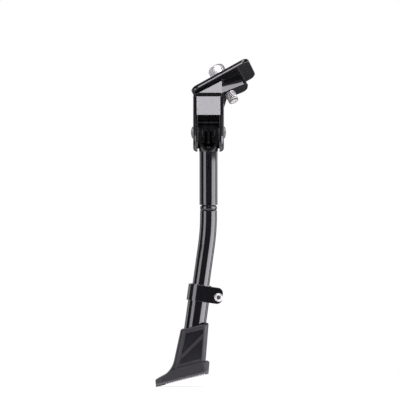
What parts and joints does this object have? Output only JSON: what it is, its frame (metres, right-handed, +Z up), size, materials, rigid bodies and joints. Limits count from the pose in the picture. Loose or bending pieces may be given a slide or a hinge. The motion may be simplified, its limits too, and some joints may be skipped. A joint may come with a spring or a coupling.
{
  "type": "bicycle kickstand",
  "caption": "Centre-mount bicycle kickstand: a clamp head for the chainstays, a folding leg with a return spring, a telescopic lower tube and a ribbed foot.",
  "frame": {"origin": "where the clamp bolt's axis meets the head's seat", "axes": "+Z up, with the leg hanging along -Z; +Y to the bicycle's front; +X to the bicycle's right, along the leg's pivot"},
  "size_m": [0.094, 0.0378, 0.3077],
  "materials": {
    "gloss_black": "gloss black powder coat on aluminium and steel",
    "bright_zinc": "bright zinc plate",
    "dark_steel": "oiled black spring steel",
    "black_nylon": "moulded nylon",
    "bush_bronze": "sintered bronze",
    "boot_plastic": "fine-textured moulding"
  },
  "bodies": {
    "head": {"head_bracket": "gloss_black", "left_pivot_rivet": "bright_zinc", "right_pivot_rivet": "bright_zinc", "left_thrust_washer": "black_nylon", "right_thrust_washer": "black_nylon", "spring_anchor_pin": "dark_steel"},
    "clamp_screw": {"clamp_bolt": "bright_zinc", "spring_washer": "bright_zinc", "flat_washer": "bright_zinc"},
    "plate": {"clamp_plate": "gloss_black"},
    "leg": {"leg_knuckle": "gloss_black", "left_pivot_bush": "bush_bronze", "right_pivot_bush": "bush_bronze", "spring_pin": "dark_steel", "return_spring": "dark_steel", "leg_tube": "gloss_black"},
    "foot": {"lower_tube": "gloss_black", "clamp_band": "gloss_black", "band_screw": "bright_zinc", "band_washer": "bright_zinc", "band_nut": "bright_zinc", "foot_boot": "boot_plastic"}
  },
  "joints": [
    {"name": "clamp_open", "type": "slide", "parent": "head", "child": "clamp_screw", "axis": [-0.4429, 0.4067, 0.799], "range_m": [0, 0.01]},
    {"name": "plate_swivel", "type": "hinge", "parent": "clamp_screw", "child": "plate", "pos_m": [0, 0, 0], "axis": [-0.4429, 0.4067, 0.799], "continuous": true},
    {"name": "leg_swing", "type": "hinge", "parent": "head", "child": "leg", "pos_m": [-0.0148, 0, -0.0458], "axis": [-1, 0, 0], "range_deg": [0, 105], "deforming": ["return_spring"]},
    {"name": "leg_extension", "type": "slide", "parent": "leg", "child": "foot", "axis": [-0.1392, 0, -0.9903], "range_m": [-0.02, 0.035]}
  ]
}
